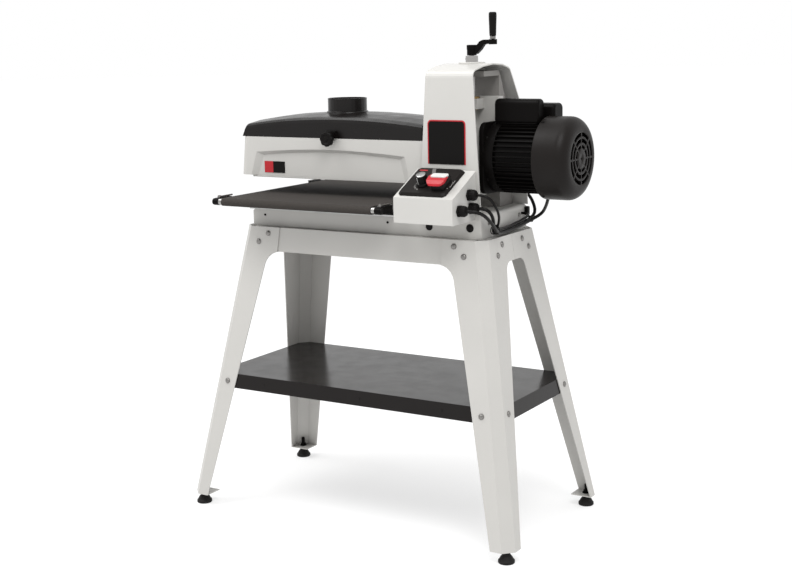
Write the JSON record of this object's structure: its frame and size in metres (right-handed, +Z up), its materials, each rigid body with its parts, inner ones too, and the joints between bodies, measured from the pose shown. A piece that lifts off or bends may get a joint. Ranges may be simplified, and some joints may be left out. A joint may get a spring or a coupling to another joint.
{
  "type": "drum thickness sander",
  "caption": "Open-ended drum thickness sander on a folded-sheet stand: belt-fed table, cranked drum head with hinged dust cover, direct-drive motor and shelf.",
  "frame": {"origin": "on the floor under the middle of the machine", "axes": "+X from the open end towards the motor, +Y from the operator to the outfeed side, +Z up"},
  "size_m": [1.0372, 0.52, 1.299],
  "materials": {
    "stand_paint": "satin",
    "casting_paint": "satin",
    "cover_paint": "satin",
    "shelf_paint": "semi-gloss",
    "dust_cover_paint": "satin",
    "grey_iron": "matt",
    "bed_steel": "matt",
    "belt_cloth": "rough",
    "drum_abrasive": "rough",
    "bright_steel": "turned",
    "roller_chrome": "polished",
    "drum_aluminium": "turned",
    "nut_bronze": "turned",
    "black_plastic": "satin",
    "black_paint": "satin",
    "cowl_paint": "satin",
    "panel_grey": "satin",
    "red_plastic": "semi-gloss",
    "foot_rubber": "matt",
    "cord_rubber": "satin"
  },
  "bodies": {
    "base": {"control_box": "cover_paint", "control_panel": "panel_grey", "conveyor_bed": "bed_steel", "conveyor_belt": "belt_cloth", "conveyor_gearmotor": "black_paint", "drive_lead": "cord_rubber", "foot_front_left": "foot_rubber", "foot_front_right": "foot_rubber", "foot_rear_left": "foot_rubber", "foot_rear_right": "foot_rubber", "gland_front": "black_plastic", "gland_rear": "black_plastic", "gland_top": "black_plastic", "leg_front_left": "stand_paint", "leg_front_right": "stand_paint", "leg_rear_left": "stand_paint", "leg_rear_right": "stand_paint", "machine_base": "casting_paint", "motor_lead": "cord_rubber", "power_cord": "cord_rubber", "power_cord_coil": "cord_rubber", "power_plug": "cord_rubber", "rail_front": "stand_paint", "rail_left": "stand_paint", "rail_rear": "stand_paint", "rail_right": "stand_paint", "roller_bracket_front_left": "black_paint", "roller_bracket_front_right": "black_paint", "roller_bracket_rear_left": "black_paint", "roller_bracket_rear_right": "black_paint", "shelf": "shelf_paint", "switch_housing": "black_plastic", "tower_column": "grey_iron", "tower_cover": "cover_paint"},
    "crank": {"leadscrew": "bright_steel", "crank_arm": "black_paint"},
    "crank_handle": {"crank_grip": "black_plastic"},
    "head": {"head_casting": "casting_paint", "inboard_bearing": "bright_steel", "outboard_bearing": "bright_steel", "lead_nut": "nut_bronze", "motor_body": "black_paint", "fan_cover": "cowl_paint", "start_capacitor_cover": "black_paint", "run_capacitor_cover": "black_paint"},
    "drum_rotor": {"drum": "drum_aluminium", "abrasive_strip": "drum_abrasive", "drum_shaft": "bright_steel", "motor_rotor": "bright_steel", "cooling_fan": "black_plastic"},
    "infeed_carrier": {"infeed_roller_carrier": "black_paint"},
    "infeed_pressure_roller": {"infeed_roller": "bright_steel"},
    "outfeed_carrier": {"outfeed_roller_carrier": "black_paint"},
    "outfeed_pressure_roller": {"outfeed_roller": "bright_steel"},
    "cover": {"dust_cover": "dust_cover_paint"},
    "clamp_knob": {"cover_knob": "black_plastic"},
    "rear_roller": {"drive_roller": "roller_chrome"},
    "front_roller": {"idler_roller": "roller_chrome"},
    "feed_knob": {"speed_knob": "black_plastic"},
    "paddle": {"switch_paddle": "red_plastic"}
  },
  "joints": [
    {"name": "crank_turn", "type": "hinge", "parent": "base", "child": "crank", "pos_m": [0.2226, 0, 1.1945], "axis": [0, 0, 1], "range_deg": [-7425, 9000]},
    {"name": "grip_spin", "type": "hinge", "parent": "crank", "child": "crank_handle", "pos_m": [0.281, 0, 1.2345], "axis": [0, 0, 1], "continuous": true},
    {"name": "head_lift", "type": "slide", "parent": "base", "child": "head", "axis": [0, 0, 1], "range_m": [-0.04, 0.033], "deforming": ["motor_lead"]},
    {"name": "drum_spin", "type": "hinge", "parent": "head", "child": "drum_rotor", "pos_m": [-0.1565, 0, 0.95], "axis": [1, 0, 0], "continuous": true},
    {"name": "infeed_spring", "type": "slide", "parent": "head", "child": "infeed_carrier", "axis": [0, 0, 1], "range_m": [0, 0.005], "stiffness_N_per_m": 4000, "springref_m": -0.005},
    {"name": "infeed_roll", "type": "hinge", "parent": "infeed_carrier", "child": "infeed_pressure_roller", "pos_m": [-0.1565, -0.0745, 0.8961], "axis": [1, 0, 0], "continuous": true},
    {"name": "outfeed_spring", "type": "slide", "parent": "head", "child": "outfeed_carrier", "axis": [0, 0, 1], "range_m": [0, 0.005], "stiffness_N_per_m": 4000, "springref_m": -0.005},
    {"name": "outfeed_roll", "type": "hinge", "parent": "outfeed_carrier", "child": "outfeed_pressure_roller", "pos_m": [-0.1565, 0.0745, 0.8961], "axis": [1, 0, 0], "continuous": true},
    {"name": "cover_hinge", "type": "hinge", "parent": "head", "child": "cover", "pos_m": [-0.151, 0.1105, 0.9935], "axis": [-1, 0, 0], "range_deg": [0, 90]},
    {"name": "clamp_turn", "type": "hinge", "parent": "cover", "child": "clamp_knob", "pos_m": [-0.131, -0.122, 0.992], "axis": [0, -1, 0], "range_deg": [0, 720]},
    {"name": "drive_roller_spin", "type": "hinge", "parent": "base", "child": "rear_roller", "pos_m": [-0.1565, 0.2365, 0.8317], "axis": [1, 0, 0], "continuous": true},
    {"name": "idler_roller_spin", "type": "hinge", "parent": "base", "child": "front_roller", "pos_m": [-0.1565, -0.2365, 0.8317], "axis": [1, 0, 0], "continuous": true},
    {"name": "feed_knob_turn", "type": "hinge", "parent": "base", "child": "feed_knob", "pos_m": [0.1905, -0.19072, 0.89545], "axis": [0, 0.4384, -0.8988], "range_deg": [0, 300]},
    {"name": "paddle_lift", "type": "hinge", "parent": "base", "child": "paddle", "pos_m": [0.2405, -0.18789, 0.91931], "axis": [-1, 0, 0], "range_deg": [0, 25]}
  ],
  "couplings": [
    {"joint": "crank_turn", "follows": "head_lift", "rad_per_m": -3927},
    {"joint": "idler_roller_spin", "follows": "drive_roller_spin", "ratio": 1}
  ]
}
